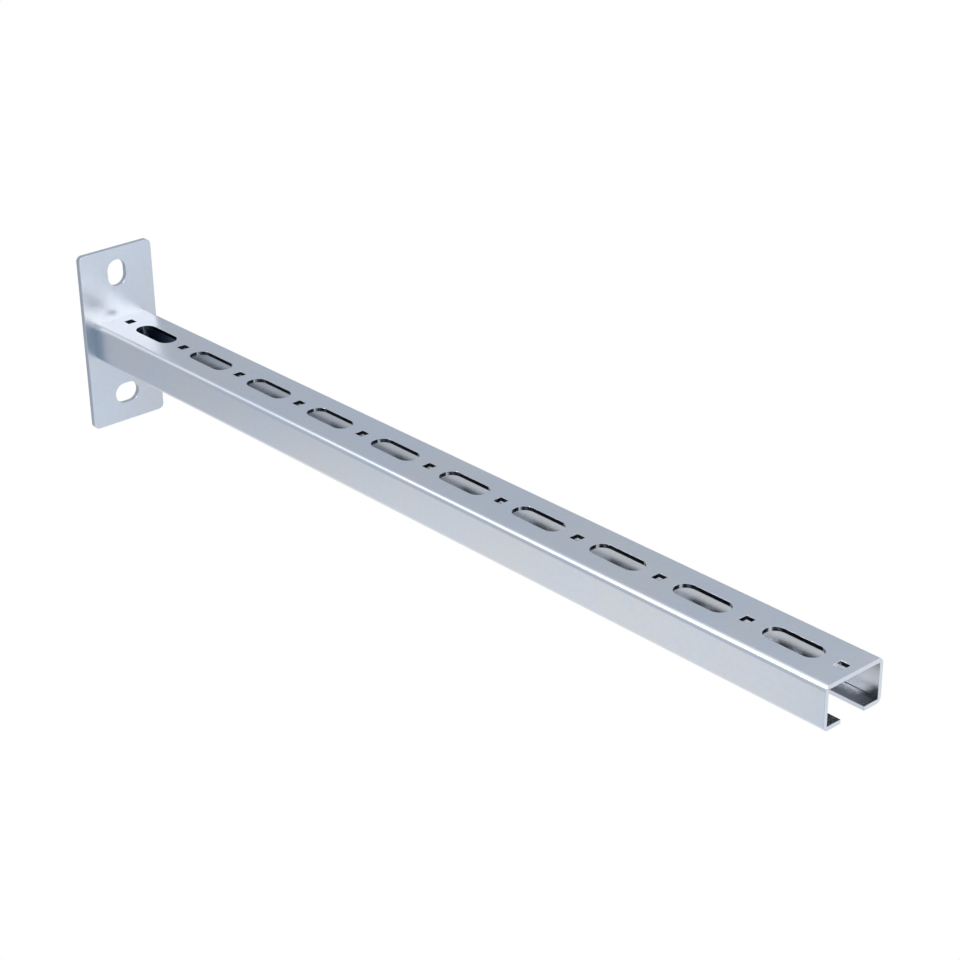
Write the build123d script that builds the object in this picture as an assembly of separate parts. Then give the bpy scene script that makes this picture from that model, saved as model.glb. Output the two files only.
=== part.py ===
"""Cantilever strut arm: a slotted steel channel standing out from a wall plate. All sizes in millimetres.

The plate's back lies against the wall at x = 0, the arm runs along +X with its open side down, and +Z is up.
"""
from build123d import *
import os

# Wall plate, cut from flat steel
plate_width = 45.0
plate_height = 100.0
plate_thickness = 3.0
plate_corner_radius = 3.0
plate_edge_radius = 0.4

# Slots in the plate for the two wall bolts, the upper one upright and the lower one level. The middle of the pair
# lies a little above the arm's centre line
wall_slot_width = 11.5
wall_slot_length = 15.0
wall_slot_spacing = 70.0
wall_slots_above_arm = 1.0

# Channel, one strip of steel rolled to a C with plain lips turned inwards
channel_width = 34.5
channel_height = 20.8
channel_sheet = 2.0
bend_inner_radius = 0.75
lip_length = 10.2
lip_edge_radius = 0.3
arm_length = 516.0

# Holes punched along the channel's back: long slots, and a square pilot hole half way between each two
hole_pitch = 50.0
first_pilot_hole = 9.25
web_slot_width = 11.0
web_slot_length = 30.0
pilot_hole_side = 5.0
pilot_hole_corner_radius = 0.3
hole_end_land = 3.0

# Fillet weld inside the channel's root, along both side walls and the back
weld_leg = 3.0
weld_crown = 0.35
weld_stop_above_lip = 1.5

bend_outer_radius = bend_inner_radius + channel_sheet
inner_width = channel_width - 2 * channel_sheet
inner_height = channel_height - 2 * channel_sheet
mouth_width = channel_width - 2 * lip_length
arm_root = plate_thickness
inner_top = channel_height / 2 - channel_sheet
lip_top = -inner_top


def across(x):
    """The plane across the arm at x, its own x along Y and its own y up."""
    return Plane(origin=(x, 0, 0), x_dir=(0, 1, 0), z_dir=(1, 0, 0))


def wall_plate():
    """Flat plate with rounded corners, a softened front edge and the two wall slots."""
    outline = RectangleRounded(plate_width, plate_height, plate_corner_radius)
    plate = extrude(across(0) * outline, plate_thickness)
    front_edges = plate.faces().sort_by(Axis.X)[-1].edges()
    plate = fillet(front_edges, plate_edge_radius)
    slot = SlotOverall(wall_slot_length, wall_slot_width)
    upper = Pos(0, wall_slots_above_arm + wall_slot_spacing / 2) * Rot(0, 0, 90) * slot
    lower = Pos(0, wall_slots_above_arm - wall_slot_spacing / 2) * slot
    return plate - extrude(across(0) * (upper + lower), plate_thickness)


def channel_section():
    """Section of the strip across the arm, open at the bottom between the two lips."""
    outside = RectangleRounded(channel_width, channel_height, bend_outer_radius)
    inside = RectangleRounded(inner_width, inner_height, bend_inner_radius)
    mouth = Pos(0, -channel_height / 2) * Rectangle(mouth_width, 2 * channel_sheet)
    section = outside - inside - mouth
    lip_corners = [v for v in section.vertices() if abs(abs(v.X) - mouth_width / 2) < 1e-3]
    return fillet(lip_corners, lip_edge_radius)


def hole_centres(first, length):
    """Places of a row of holes of this length at the strip's pitch, as far as the arm has room for whole ones."""
    last = arm_length - hole_end_land - length / 2
    count = int((last - first) // hole_pitch) + 1
    return [arm_root + first + hole_pitch * i for i in range(count)]


def channel_arm():
    """Rolled channel with its row of slots and pilot holes through the back."""
    channel = extrude(across(arm_root) * channel_section(), arm_length)
    slot = SlotOverall(web_slot_length, web_slot_width)
    pilot = RectangleRounded(pilot_hole_side, pilot_hole_side, pilot_hole_corner_radius)
    first_slot = first_pilot_hole + hole_pitch / 2
    holes = [Pos(x, 0) * slot for x in hole_centres(first_slot, web_slot_length)]
    holes += [Pos(x, 0) * pilot for x in hole_centres(first_pilot_hole, pilot_hole_side)]
    punches = [extrude(Plane.XY.offset(inner_top) * hole, channel_sheet) for hole in holes]
    return channel - punches


def weld_run(start, end, inwards):
    """One straight fillet weld in the corner of plate and channel, from start to end, its legs along +X and inwards."""
    start, inwards = Vector(*start), Vector(*inwards)
    line = Vector(*end) - start
    on_plate = start + inwards * weld_leg
    on_channel = start + Vector(weld_leg, 0, 0)
    outwards = (Vector(1, 0, 0) + inwards).normalized()
    crown = (on_plate + on_channel) * 0.5 + outwards * weld_crown
    face = make_face([Line(on_channel, start), Line(start, on_plate), ThreePointArc(on_plate, crown, on_channel)])
    return extrude(face, line.length, dir=line.normalized())


def root_weld():
    """The weld inside the root: down both side walls and across the back, kept inside the rolled corners."""
    side, stop = inner_width / 2, lip_top + weld_stop_above_lip
    runs = weld_run((arm_root, -side, stop), (arm_root, -side, inner_top), (0, 1, 0))
    runs += weld_run((arm_root, side, stop), (arm_root, side, inner_top), (0, -1, 0))
    runs += weld_run((arm_root, -side, inner_top), (arm_root, side, inner_top), (0, 0, -1))
    hollow = RectangleRounded(inner_width, inner_height, bend_inner_radius)
    return runs & extrude(across(arm_root) * hollow, weld_leg + weld_crown)


pieces = {"wall_plate": wall_plate(), "channel_arm": channel_arm(), "root_weld": root_weld()}

os.makedirs("parts", exist_ok=True)
for name, piece in pieces.items():
    solids = piece.solids()
    export_step(solids[0] if len(solids) == 1 else Compound(children=solids), f"parts/{name}.step")
    print(name, len(solids), "solid", round(piece.volume), "mm3")
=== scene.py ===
import math
import random
import bmesh
import bpy
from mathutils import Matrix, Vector


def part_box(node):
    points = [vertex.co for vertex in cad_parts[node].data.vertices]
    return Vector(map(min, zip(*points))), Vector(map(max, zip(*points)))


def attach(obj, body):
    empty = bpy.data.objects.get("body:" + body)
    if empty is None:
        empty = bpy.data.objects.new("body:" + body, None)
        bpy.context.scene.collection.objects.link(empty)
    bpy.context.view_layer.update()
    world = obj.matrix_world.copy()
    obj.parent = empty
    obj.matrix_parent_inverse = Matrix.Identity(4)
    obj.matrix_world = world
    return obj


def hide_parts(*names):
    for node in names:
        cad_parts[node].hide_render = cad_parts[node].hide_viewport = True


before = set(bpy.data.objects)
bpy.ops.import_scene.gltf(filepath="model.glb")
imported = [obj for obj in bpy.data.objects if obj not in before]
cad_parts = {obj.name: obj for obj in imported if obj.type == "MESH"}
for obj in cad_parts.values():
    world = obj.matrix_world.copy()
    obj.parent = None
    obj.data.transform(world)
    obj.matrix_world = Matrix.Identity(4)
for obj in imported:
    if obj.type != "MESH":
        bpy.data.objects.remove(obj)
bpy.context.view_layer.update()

# Wall plate. The real one is cut from 3 mm flat steel, its corners rounded and its two bolt slots punched
# through, one upright and one level. It is zinc plated together with the arm, and its back lies on the wall.
MM = 0.001
plate_low, plate_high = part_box("wall_plate")
plate_corner = 3.0 * MM
plate_edge = 0.10 * MM
wall_slot_length = 15.0 * MM
wall_slot_width = 11.5 * MM
upper_slot_height = 36.0 * MM
lower_slot_height = -34.0 * MM
plate_corner_steps = 10
plate_edge_steps = 3
slot_end_steps = 24
punch_reach = 3  # a punch is this many times as long as the sheet is thick
same_direction = 0.99
same_place = 0.001 * MM
sharp_angle = math.radians(50)


def select_edges(shape, chosen):
    """Leaves only those edges of the shape selected in edit mode that the rule picks out."""
    mesh = bmesh.from_edit_mesh(shape.data)
    for edge in mesh.edges:
        edge.select = False
    for face in mesh.faces:
        face.select = False
    for edge in mesh.edges:
        edge.select_set(chosen(edge))
    bmesh.update_edit_mesh(shape.data)


def rounded_block(name, centre, size, axis, radius, steps):
    """A block whose four edges along one axis are rounded, as a sheet's corners or a slot's ends are."""
    along = "XYZ".index(axis)

    def lies_along(edge):
        direction = (edge.verts[0].co - edge.verts[1].co).normalized()
        return abs(direction[along]) > same_direction

    bpy.ops.object.select_all(action="DESELECT")
    bpy.ops.mesh.primitive_cube_add(size=1, location=centre, scale=size)
    block = bpy.context.object
    block.name = name
    bpy.ops.object.transform_apply(location=True, rotation=True, scale=True)
    bpy.ops.object.mode_set(mode="EDIT")
    bpy.ops.mesh.select_mode(type="EDGE")
    select_edges(block, lies_along)
    bpy.ops.mesh.bevel(offset=radius, segments=steps, affect="EDGES")
    bpy.ops.mesh.select_all(action="SELECT")
    bpy.ops.mesh.remove_doubles(threshold=same_place)
    bpy.ops.object.mode_set(mode="OBJECT")
    return block


def join(pieces):
    """Joins the pieces into the first and returns it."""
    bpy.ops.object.select_all(action="DESELECT")
    for piece in pieces:
        piece.select_set(True)
    bpy.context.view_layer.objects.active = pieces[0]
    bpy.ops.object.join()
    return pieces[0]


def combine(piece, other, operation):
    """Cuts the other shape out of the piece or keeps what both share, and removes the other shape."""
    cut = piece.modifiers.new("cut", "BOOLEAN")
    cut.operation = operation
    cut.solver = "EXACT"
    cut.object = other
    bpy.context.view_layer.objects.active = piece
    bpy.ops.object.modifier_apply(modifier=cut.name)
    bpy.data.objects.remove(other, do_unlink=True)


def soften_edges(piece, width, steps):
    """Breaks the sharp edges a little, but for those at the end towards the wall, and keeps the flats flat
    under smooth shading."""
    wall_end = min(vertex.co.x for vertex in piece.data.vertices) + width

    def is_open_edge(edge):
        return edge.calc_face_angle(0) > sharp_angle and max(vertex.co.x for vertex in edge.verts) > wall_end

    bpy.ops.object.select_all(action="DESELECT")
    piece.select_set(True)
    bpy.context.view_layer.objects.active = piece
    bpy.ops.object.shade_smooth()
    bpy.ops.object.mode_set(mode="EDIT")
    bpy.ops.mesh.select_mode(type="EDGE")
    select_edges(piece, is_open_edge)
    bpy.ops.mesh.bevel(offset=width, segments=steps, affect="EDGES", clamp_overlap=False)
    bpy.ops.object.mode_set(mode="OBJECT")
    flats = piece.modifiers.new("flats", "WEIGHTED_NORMAL")
    flats.weight = 100
    flats.keep_sharp = False
    bpy.ops.object.modifier_apply(modifier=flats.name)


plate_size = plate_high - plate_low
plate_middle = (plate_low + plate_high) / 2
plate = rounded_block("plate_steel", plate_middle, plate_size, "X", plate_corner, plate_corner_steps)
punch_length = punch_reach * plate_size.x
upright = (punch_length, wall_slot_width, wall_slot_length)
level = (punch_length, wall_slot_length, wall_slot_width)
slot_end = wall_slot_width / 2
upper_place = (plate_middle.x, 0, upper_slot_height)
lower_place = (plate_middle.x, 0, lower_slot_height)
combine(plate, join([
    rounded_block("upper_punch", upper_place, upright, "X", slot_end, slot_end_steps),
    rounded_block("lower_punch", lower_place, level, "X", slot_end, slot_end_steps),
]), "DIFFERENCE")
soften_edges(plate, plate_edge, plate_edge_steps)


class Socket:
    """A shader socket that takes part in ordinary arithmetic: each operation adds its Math node."""

    def __init__(self, shader, link):
        self.shader, self.link = shader, link

    def output(self, name):
        """Another output of the same node."""
        return Socket(self.shader, self.link.node.outputs[name])

    def maths(self, operation, *others):
        return self.shader.add("ShaderNodeMath", {"operation": operation}, [self, *others])

    def __add__(self, other):
        return self.maths("ADD", other)

    def __radd__(self, other):
        return self.maths("ADD", other)

    def __sub__(self, other):
        return self.maths("SUBTRACT", other)

    def __rsub__(self, other):
        return self.shader.add("ShaderNodeMath", {"operation": "SUBTRACT"}, [other, self])

    def __mul__(self, other):
        return self.maths("MULTIPLY", other)

    def __rmul__(self, other):
        return self.maths("MULTIPLY", other)

    def __abs__(self):
        return self.maths("ABSOLUTE")

    def most(self, other):
        return self.maths("MAXIMUM", other)

    def ramp(self, start, end):
        """Goes smoothly from 0 to 1 while this value goes from start to end, up or down."""
        settings = {"interpolation_type": "SMOOTHSTEP", "clamp": True}
        return self.shader.add("ShaderNodeMapRange", settings, [self, start, end, 0.0, 1.0])

    def above(self, limit, fade):
        """1 over the limit and 0 under it, changing within the fade on both sides."""
        return self.ramp(limit - fade, limit + fade)

    def below(self, limit, fade):
        """1 under the limit and 0 over it, changing within the fade on both sides."""
        return self.ramp(limit + fade, limit - fade)

    def between(self, low, high, fade):
        """1 from low to high, fading out just outside them."""
        return self.ramp(low - fade, low) * self.ramp(high + fade, high)


class Shader:
    """Builds one node tree: add() takes a node's type, its settings and what goes into its sockets."""

    def __init__(self, tree):
        self.tree = tree
        tree.nodes.clear()

    def add(self, kind, settings=None, inputs=(), out=0):
        node = self.tree.nodes.new(kind)
        for name, value in (settings or {}).items():
            setattr(node, name, value)
        pairs = inputs.items() if isinstance(inputs, dict) else enumerate(inputs)
        for key, value in pairs:
            self.feed(node.inputs[key], value)
        return Socket(self, node.outputs[out]) if node.outputs else node

    def feed(self, socket, value):
        if isinstance(value, Socket):
            self.tree.links.new(value.link, socket)
        elif socket.type == "RGBA":
            socket.default_value = (*value, 1)
        else:
            socket.default_value = value

    def mix(self, share, first, second):
        """A colour between two, by share."""
        return self.add("ShaderNodeMix", {"data_type": "RGBA"}, {0: share, 6: first, 7: second}, 2)

    def place(self):
        """The point being shaded, in the object's own coordinates."""
        return self.add("ShaderNodeTexCoord", {}, (), "Object")

    def split(self, vector):
        """The vector's three parts, each a socket of its own."""
        x = self.add("ShaderNodeSeparateXYZ", {}, [vector])
        return x, x.output("Y"), x.output("Z")

    def noise(self, vector, scale, detail=3.0, roughness=0.55):
        inputs = {"Vector": vector, "Scale": scale, "Detail": detail, "Roughness": roughness}
        return self.add("ShaderNodeTexNoise", {"normalize": True}, inputs)

    def streaks(self, vector, per_metre, turn=(0.0, 0.0, 0.0), roughness=0.6):
        """Noise drawn out along the axis with the fewest marks per metre. A turn gives another pattern."""
        inputs = {"Vector": vector, "Rotation": turn, "Scale": per_metre}
        return self.noise(self.add("ShaderNodeMapping", {}, inputs), 1.0, 5.0, roughness)


def toned(colour, *factors):
    """The colour with its red, green and blue multiplied by three factors, or all by one."""
    if len(factors) == 1:
        factors *= 3
    return tuple(factor * part for factor, part in zip(factors, colour))


# How the plating varies: how many of each mark there are to the metre, between which values of the noise it
# comes in, how much it darkens the colour and roughens the surface, and how high it stands
clouds_per_metre = 32.0
specks_per_metre = 420.0
rolling_lines_per_metre = (5.0, 800.0, 800.0)
rubs_per_metre = (70.0, 900.0, 900.0)
rub_turn = (0.3, 0.5, 0.6)
cloud_limits, speck_limits, rub_limits = (0.35, 0.65), (0.3, 0.7), (0.60, 0.74)
cool_tone = (0.97, 0.99, 1.01)
warm_tone = (1.01, 1.0, 0.98)
mark_shade = 0.6
speck_share, rub_share = 0.07, 0.08
cloud_rough, line_rough, speck_rough, rub_rough = 0.04, 0.03, 0.02, 0.05
least_rough = 0.08
speck_height, line_height, rub_depth = 0.2, 0.65, 0.15
relief_strength, relief_height = 0.035, 0.2 * MM


def zinc(name, colour, roughness, marks):
    """Bright zinc plate on rolled steel: clouding, rolling lines along the arm and fine rubs of handling.

    marks gives what is special to the piece, its own marks and painted shade, as a list made from the shader
    and
    the place: each entry says where it is, as a value from 0 to 1, the colour there, and how much rougher it
    is."""
    material = bpy.data.materials.new(name)
    material.use_nodes = True
    s = Shader(material.node_tree)
    place = s.place()
    cloud = s.noise(place, clouds_per_metre, detail=4.0)
    specks = s.noise(place, specks_per_metre)
    lines = s.streaks(place, rolling_lines_per_metre)
    rubs = s.streaks(place, rubs_per_metre, rub_turn, roughness=0.7).ramp(*rub_limits)
    tint = s.mix(cloud.ramp(*cloud_limits), toned(colour, *cool_tone), toned(colour, *warm_tone))
    worn = speck_share * specks.ramp(*speck_limits) + rub_share * rubs
    tint = s.mix(worn, tint, toned(colour, mark_shade))
    rough = roughness + cloud_rough * (cloud - 0.5) + line_rough * (lines - 0.5)
    rough = rough + speck_rough * (specks - 0.5) + rub_rough * rubs
    for where, mark_or_shade_colour, rougher in marks(s, place):
        tint = s.mix(where, tint, mark_or_shade_colour)
        rough = rough + rougher * where
    height = speck_height * specks + line_height * lines - rub_depth * rubs
    relief = {"Strength": relief_strength, "Distance": relief_height, "Height": height}
    surface = s.add("ShaderNodeBsdfPrincipled", {}, {
        "Base Color": tint,
        "Metallic": 1.0,
        "Roughness": rough.most(least_rough),
        "Normal": s.add("ShaderNodeBump", {}, relief),
    })
    s.add("ShaderNodeOutputMaterial", {}, [surface])
    return material


plate_colour = (0.70, 0.74, 0.80)
plate_rough = 0.34
# Painted shade for the channel's root and the plate's face inside it; also the colour of the weld's dull
# film
root_shade_and_film_colour = (0.06, 0.09, 0.14)
root_shade_and_film_rough = 0.12
hollow_half_width = 15.25 * MM
hollow_half_height = 8.35 * MM
front_depth = 0.25 * MM
hollow_fade = 0.15 * MM


def plate_painted_shade(s, place):
    """Painted shade: the plate's face inside the channel, darkened and dulled where shade falls at the root.
    """
    x, y, z = s.split(place)
    in_channel = abs(y).below(hollow_half_width, hollow_fade) * abs(z).below(hollow_half_height, hollow_fade)
    at_front = x.above(plate_high.x - front_depth, hollow_fade)
    return [(in_channel * at_front, root_shade_and_film_colour, root_shade_and_film_rough)]


plate.data.materials.append(zinc("plate_zinc", plate_colour, plate_rough, plate_painted_shade))
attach(plate, "root")
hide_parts("wall_plate")

# Channel arm. The real one is one strip of 2 mm steel, punched with its row of slots and square pilot holes
# and then rolled to a C with plain lips turned inwards. It is cut to length and stands square on the plate.
arm_low, arm_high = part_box("channel_arm")
sheet = 2.0 * MM
bend_radius = 2.75 * MM
lip = 10.2 * MM
arm_edge = 0.07 * MM
pitch = 50.0 * MM
slot_length = 30.0 * MM
slot_width = 11.0 * MM
pilot_side = 5.0 * MM
pilot_corner = 0.3 * MM
first_pilot = 9.25 * MM
first_slot = first_pilot + pitch / 2
bend_steps = 12
arm_edge_steps = 2
pilot_corner_steps = 4
facing = 0.9
flat_angle = math.radians(0.5)

arm_middle = (arm_low + arm_high) / 2
arm = rounded_block("channel_steel", arm_middle, arm_high - arm_low, "X", bend_radius, bend_steps)
bpy.ops.object.mode_set(mode="EDIT")
mouth = arm_high.y - lip
for lip_end in (-mouth, mouth):
    bpy.ops.mesh.select_all(action="SELECT")
    bpy.ops.mesh.bisect(plane_co=(0, lip_end, 0), plane_no=(0, 1, 0))
bpy.ops.mesh.select_mode(type="FACE")
open_mesh = bmesh.from_edit_mesh(arm.data)
for face in open_mesh.faces:
    at_end = abs(face.normal.x) > facing
    in_mouth = face.normal.z < -facing and abs(face.calc_center_median().y) < mouth
    face.select_set(at_end or in_mouth)
bmesh.update_edit_mesh(arm.data)
bpy.ops.mesh.delete(type="FACE")
bpy.ops.mesh.select_all(action="SELECT")
bpy.ops.mesh.dissolve_limited(angle_limit=flat_angle)
bpy.ops.object.mode_set(mode="OBJECT")
wall = arm.modifiers.new("sheet", "SOLIDIFY")
wall.thickness = sheet
wall.offset = -1
wall.use_even_offset = True
bpy.ops.object.modifier_apply(modifier=wall.name)


def punch_row(name, first, length, width, corner, steps):
    """The punches for one row of holes at the pitch, as far as the arm has room for whole holes."""
    room = arm_high.x - arm_low.x - first - length / 2
    size = (length, width, punch_reach * sheet)
    row = []
    for i in range(int(room / pitch) + 1):
        centre = (arm_low.x + first + pitch * i, 0, arm_high.z - sheet / 2)
        row.append(rounded_block(name, centre, size, "Z", corner, steps))
    return row


punches = punch_row("slot_punch", first_slot, slot_length, slot_width, slot_width / 2, slot_end_steps)
punches += punch_row("pilot_punch", first_pilot, pilot_side, pilot_side, pilot_corner, pilot_corner_steps)
last_pilot_wall = min(vertex.co.x for vertex in punches[-1].data.vertices)
combine(arm, join(punches), "DIFFERENCE")
soften_edges(arm, arm_edge, arm_edge_steps)

channel_colour = (0.69, 0.72, 0.77)
channel_rough = 0.30
# Painted shade: these shares darken the channel's colour on its cut walls and inside, where shade falls
cut_wall_painted_shade, cut_wall_rough = 0.2, -0.20
inside_painted_shade, inner_rough = 0.82, -0.06
under_web_painted_shade = 0.2
corner_painted_shade, corner_rough = 0.35, 0.10

# How far each patch of painted shade, and each gap in it, reaches, and over what length it fades out
root_shade_length, root_shade_fade = 31 * MM, 13 * MM
cut_wall_margin, cut_wall_fade = 0.15 * MM, 0.05 * MM
row_margin, end_margin, margin_fade = 0.3 * MM, 0.4 * MM, 0.1 * MM
reflection_gap_share = 0.85
reflection_gap_low, reflection_gap_high, reflection_gap_fade = 1.5 * MM, 2.9 * MM, 0.3 * MM
arc_low, arc_high, arc_fade = 13.6 * MM, 15.0 * MM, 0.2 * MM
last_margin = 0.1 * MM
skin, skin_fade = 0.08 * MM, 0.04 * MM
under_web_depth, under_web_fade = 0.2 * MM, 0.1 * MM
corner_reach, corner_fade = 0.85 * MM, 0.25 * MM


def shaded_cut_walls(x, y, z):
    """Painted shade: 1 on the walls of the slots and pilot holes, which mirror the dark inside, but not on a
    short stretch of each slot's end arcs away from the weld, nor on one wall of the last pilot hole."""
    in_web = z.between(arm_high.z - sheet + cut_wall_margin, arm_high.z - cut_wall_margin, cut_wall_fade)
    near_row = abs(y).below(slot_width / 2 + row_margin, margin_fade)
    before_end = x.below(arm_high.x - end_margin, margin_fade)
    from_slot = (x - (arm_low.x + first_slot)).maths("PINGPONG", pitch / 2)
    at_end_arc = from_slot.between(arc_low, arc_high, arc_fade)
    on_arcs = y.between(reflection_gap_low, reflection_gap_high, reflection_gap_fade) * at_end_arc
    past_root = x.above(arm_low.x + root_shade_length, root_shade_fade)
    last_wall = x.between(last_pilot_wall - last_margin, last_pilot_wall + last_margin, cut_wall_fade)
    # The gaps are painted reflection: there the walls keep the zinc colour, where they mirror light
    reflection_gap = (reflection_gap_share * on_arcs * past_root).most(last_wall)
    return in_web * near_row * (1 - reflection_gap) * before_end


def channel_painted_shade(s, place):
    """Painted shade on the cut walls and all over the channel's inside, where shade falls, most under the
    web and in the corners over the lips, and a near-black blue at the root."""
    x, y, z = s.split(place)
    inner_side, inner_top = arm_high.y - sheet, arm_high.z - sheet
    inside = abs(y).below(inner_side + skin, skin_fade) * abs(z).below(inner_top + skin, skin_fade)
    under_web = z.above(inner_top - under_web_depth, under_web_fade)
    beside_lips = abs(y).above(inner_side - corner_reach, corner_fade)
    over_lips = z.below(arm_low.z + sheet + corner_reach, corner_fade)
    at_root = x.below(arm_low.x + root_shade_length, root_shade_fade)
    return [
        (shaded_cut_walls(x, y, z), toned(channel_colour, cut_wall_painted_shade), cut_wall_rough),
        (inside, toned(channel_colour, inside_painted_shade), inner_rough),
        (inside * under_web, toned(channel_colour, under_web_painted_shade), 0.0),
        (inside * beside_lips * over_lips, toned(channel_colour, corner_painted_shade), corner_rough),
        (inside * at_root, root_shade_and_film_colour, root_shade_and_film_rough),
    ]


arm.data.materials.append(zinc("channel_zinc", channel_colour, channel_rough, channel_painted_shade))
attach(arm, "root")
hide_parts("channel_arm")

# Root weld. The real one is a fillet run by hand inside the channel's root, up one wall, across the back and
# down the other, in overlapping ripples. It was plated with the rest, and joins channel and plate for good.
weld_low, weld_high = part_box("root_weld")
bead_radius = 2.75 * MM
least_bead = 0.95
ripple_pitch = 1.25 * MM
ripple_half = 1.9 * MM
ripple_lean = math.radians(28)
end_clearance = 0.8 * bead_radius
grain = 0.16 * MM
inner_bend = 0.75 * MM
inner_bend_steps = 6
hand_seed = 7

hand = random.Random(hand_seed)
root, side, top, stop = weld_low.x, weld_high.y, weld_high.z, weld_low.z + end_clearance
outwards = Vector((1, 0, 0))
corners = [Vector((root, y, z)) for y, z in ((-side, stop), (-side, top), (side, top), (side, stop))]
ripples = []
for start, end in zip(corners, corners[1:]):
    forwards = (end - start).normalized()
    lean = math.cos(ripple_lean) * forwards + math.sin(ripple_lean) * outwards
    count = int((end - start).length / ripple_pitch)
    for i in range(count + 1):
        centre = start + (end - start) * i / count
        bpy.ops.object.select_all(action="DESELECT")
        bpy.ops.mesh.primitive_uv_sphere_add(segments=32, ring_count=16, radius=1, location=centre)
        ripple = bpy.context.object
        size = bead_radius * hand.uniform(least_bead, 1.0)
        ripple.scale = (size, size, ripple_half)
        ripple.rotation_euler = lean.to_track_quat("Z", "Y").to_euler()
        bpy.ops.object.transform_apply(location=True, rotation=True, scale=True)
        ripples.append(ripple)
weld = join(ripples)
weld.name = "weld_bead"
fuse = weld.modifiers.new("fuse", "REMESH")
fuse.mode = "VOXEL"
fuse.voxel_size = grain
bpy.ops.object.modifier_apply(modifier=fuse.name)
far_below = -3 * side
hollow_low = Vector((root, -side, far_below))
hollow_high = Vector((weld_high.x, side, top))
hollow_middle = (hollow_low + hollow_high) / 2
hollow_size = hollow_high - hollow_low
weld_room = rounded_block("weld_room", hollow_middle, hollow_size, "X", inner_bend, inner_bend_steps)
combine(weld, weld_room, "INTERSECT")
bpy.ops.object.select_all(action="DESELECT")
weld.select_set(True)
bpy.context.view_layer.objects.active = weld
bpy.ops.object.shade_smooth_by_angle(angle=sharp_angle)

# Painted shade: the weld is coloured much darker than the zinc, as the shade in the channel's root
shaded_weld_colour = (0.22, 0.25, 0.29)
weld_rough = 0.34
film_share = 0.6
films_per_metre = 300.0
film_limits = (0.45, 0.65)


def slag_marks(s, place):
    """Patches of the weld where a thin dull film was left under the plating."""
    film = film_share * s.noise(place, films_per_metre).ramp(*film_limits)
    return [(film, root_shade_and_film_colour, root_shade_and_film_rough)]


weld.data.materials.append(zinc("weld_zinc", shaded_weld_colour, weld_rough, slag_marks))
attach(weld, "root")
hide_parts("root_weld")

# Floor and studio. A plain pale floor far below and a white surround, and round the arm a tent of thin cloth
# that glows softly. Plated steel shows what is around it, so the tent's pale and dark parts give its sheen.
floor_drop = 2.5
floor_size = 12
floor_middle = 0.2
tent_middle = Vector((0.26, 0, 0))
tent_radius = 0.46
pale = (0.9, 0.9, 0.9)
white = (1, 1, 1)

bpy.ops.object.select_all(action="DESELECT")
bpy.ops.mesh.primitive_plane_add(size=floor_size, location=(floor_middle, 0, plate_low.z - floor_drop))
floor = bpy.context.object
floor.name = "floor"
floor_material = bpy.data.materials.new("floor_white")
floor_material.use_nodes = True
floor.data.materials.append(floor_material)


def white_to_sight(s, otherwise, plain_white):
    """White to the camera, in mirrors and through glass; lit like anything else for every other ray."""
    camera_ray = s.add("ShaderNodeLightPath", {}, (), "Is Camera Ray")
    sight = camera_ray + camera_ray.output("Is Glossy Ray") + camera_ray.output("Is Transmission Ray")
    return s.add("ShaderNodeMixShader", {}, [sight, otherwise, plain_white])


s = Shader(floor_material.node_tree)
paint = s.add("ShaderNodeBsdfDiffuse", {}, {"Color": pale})
glow = s.add("ShaderNodeEmission", {}, {"Color": white, "Strength": 1.0})
s.add("ShaderNodeOutputMaterial", {}, [white_to_sight(s, paint, glow)])

world = bpy.data.worlds.new("studio")
world.use_nodes = True
world.cycles.sampling_method = "NONE"
bpy.context.scene.world = world
s = Shader(world.node_tree)
room_light = s.add("ShaderNodeBackground", {}, [pale, 1.0])
bright_room = s.add("ShaderNodeBackground", {}, [white, 1.0])
s.add("ShaderNodeOutputWorld", {}, [white_to_sight(s, room_light, bright_room)])

bpy.ops.object.select_all(action="DESELECT")
bpy.ops.mesh.primitive_uv_sphere_add(segments=64, ring_count=32, radius=1, location=tent_middle)
tent = bpy.context.object
tent.scale = (tent_radius, tent_radius, tent_radius)
tent.name = "light_tent"
tent.visible_camera = False
tent.visible_shadow = False
tent_material = bpy.data.materials.new("tent_cloth")
tent_material.use_nodes = True
tent_material.cycles.emission_sampling = "NONE"
tent.data.materials.append(tent_material)

side_cloth, low_cloth = (0.53, 0.57, 0.63), (0.94, 0.945, 0.95)
far_low_cloth = (1.20, 1.18, 1.15)
top_cloth = (1.00, 1.02, 1.05)
front_cloth, front_low_cloth = (0.99, 1.03, 1.11), (0.88, 0.935, 1.01)
end_cloth = (0.93, 0.95, 0.97)

# Round patches of the cloth: the direction of each from the tent's middle, the angles in degrees to where it
# is full and to where it ends, and its colour
lamp_patch = ((0.52, 0.60, 0.42), 9, 21, (3.60, 3.38, 3.14))
blue_patch = ((0.55, -0.66, -0.50), 16, 36, (0.20, 0.40, 0.64))
near_dark_patch = ((0.82, -0.46, -0.34), 14, 28, (0.04, 0.05, 0.07))
far_dark_patch = ((-0.05, 0.88, -0.46), 16, 34, (0.08, 0.09, 0.11))

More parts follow.
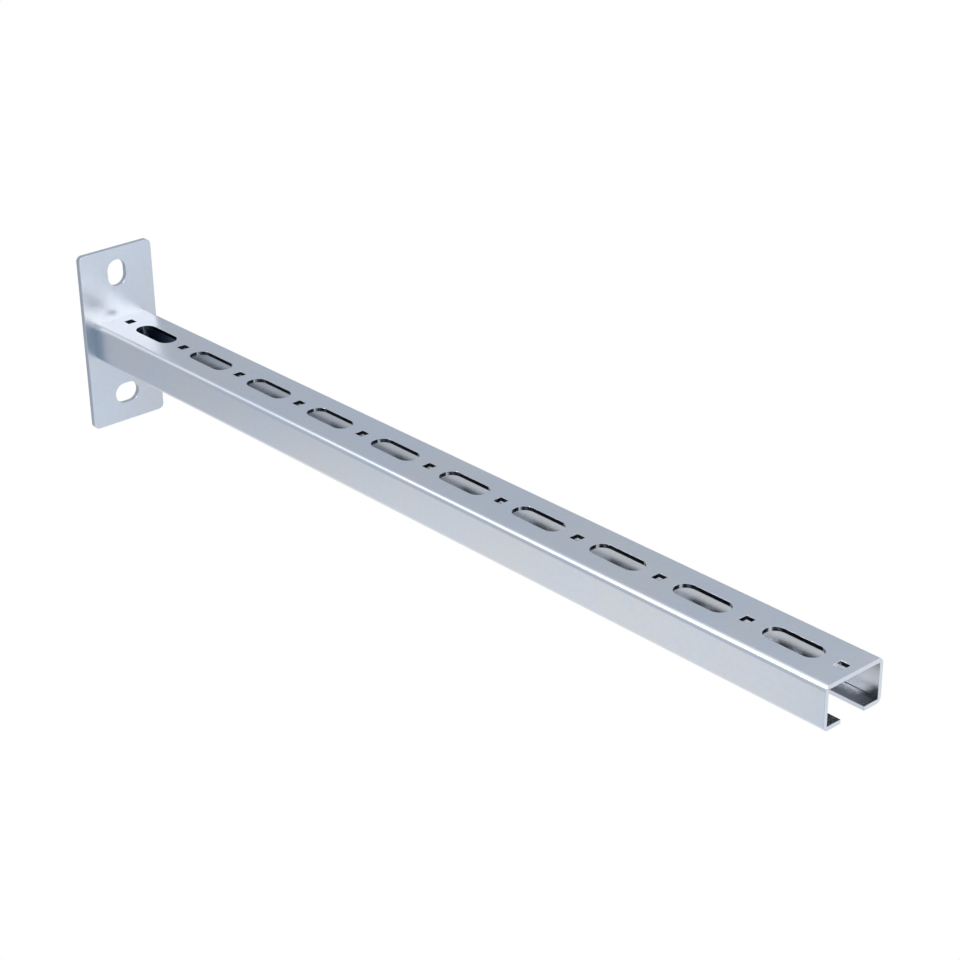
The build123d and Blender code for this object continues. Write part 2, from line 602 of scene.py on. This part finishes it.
# The tent is a ball of radius 1 made larger, so x, y and z are the parts of the direction from its middle
s = Shader(tent_material.node_tree)
towards = s.place()
x, y, z = s.split(towards)
low_down = z.ramp(-0.20, -0.54)
far_and_low = y.ramp(-0.3, 0.4) * z.ramp(-0.3, -0.5)
overhead = z.ramp(0.80, 0.97)
in_front = x.ramp(0.1, 0.4)
low_in_front = z.ramp(-0.35, -0.60)
past_free_end = x.ramp(0.65, 0.90)
cloth = s.mix(low_down, side_cloth, low_cloth)
cloth = s.mix(far_and_low, cloth, far_low_cloth)
cloth = s.mix(overhead, cloth, top_cloth)
cloth = s.mix(in_front, cloth, s.mix(low_in_front, front_cloth, front_low_cloth))
cloth = s.mix(past_free_end, cloth, end_cloth)
for aim, inner, outer, colour in (lamp_patch, blue_patch, near_dark_patch, far_dark_patch):
    parts = [towards, tuple(Vector(aim).normalized())]
    nearness = s.add("ShaderNodeVectorMath", {"operation": "DOT_PRODUCT"}, parts, "Value")
    in_patch = nearness.ramp(math.cos(math.radians(outer)), math.cos(math.radians(inner)))
    cloth = s.mix(in_patch, cloth, colour)
s.add("ShaderNodeOutputMaterial", {}, [s.add("ShaderNodeEmission", {}, [cloth, 1.0])])

key_from = Vector((-0.40, -0.50, 0.77))
key_strength = 2.1
key_width = math.radians(12)
bpy.ops.object.light_add(type="SUN", location=tent_middle + key_from)
key = bpy.context.object
key.name = "key_lamp"
key.rotation_euler = key_from.to_track_quat("Z", "Y").to_euler()
key.data.energy = key_strength
key.data.angle = key_width
key.data.color = white
key.data.cycles.use_multiple_importance_sampling = False

# Camera. It stands off the free end and above, on the near side, and looks back along the arm to the plate.
# The two target lengths say how far right of the frame's origin and above it the middle of its view passes.
view_azimuth, view_elevation, view_roll = 49.071, 25.703, -1.012
view_distance = 1247.9 * MM
view_target_right, view_target_up = 196.78 * MM, -80.05 * MM
focal_pixels, picture_pixels = 2286.5, 960
sensor_width = 36
nearest, furthest = 0.01, 50

turn, lift, tilt = (math.radians(angle) for angle in (view_azimuth, view_elevation, view_roll))
back = Vector((math.sin(turn) * math.cos(lift), -math.cos(turn) * math.cos(lift), math.sin(lift)))
level_right = Vector((math.cos(turn), math.sin(turn), 0))
level_up = back.cross(level_right)
right = math.cos(tilt) * level_right + math.sin(tilt) * level_up
up = math.cos(tilt) * level_up - math.sin(tilt) * level_right
bpy.ops.object.camera_add(location=view_distance * back + view_target_right * right + view_target_up * up)
camera = bpy.context.object
for column, direction in enumerate((right, up, back)):
    camera.matrix_world.col[column][:3] = direction
camera.data.sensor_width = sensor_width
camera.data.lens = focal_pixels / picture_pixels * sensor_width
camera.data.clip_start, camera.data.clip_end = nearest, furthest
bpy.context.scene.camera = camera
bpy.context.scene.view_settings.view_transform = "Standard"
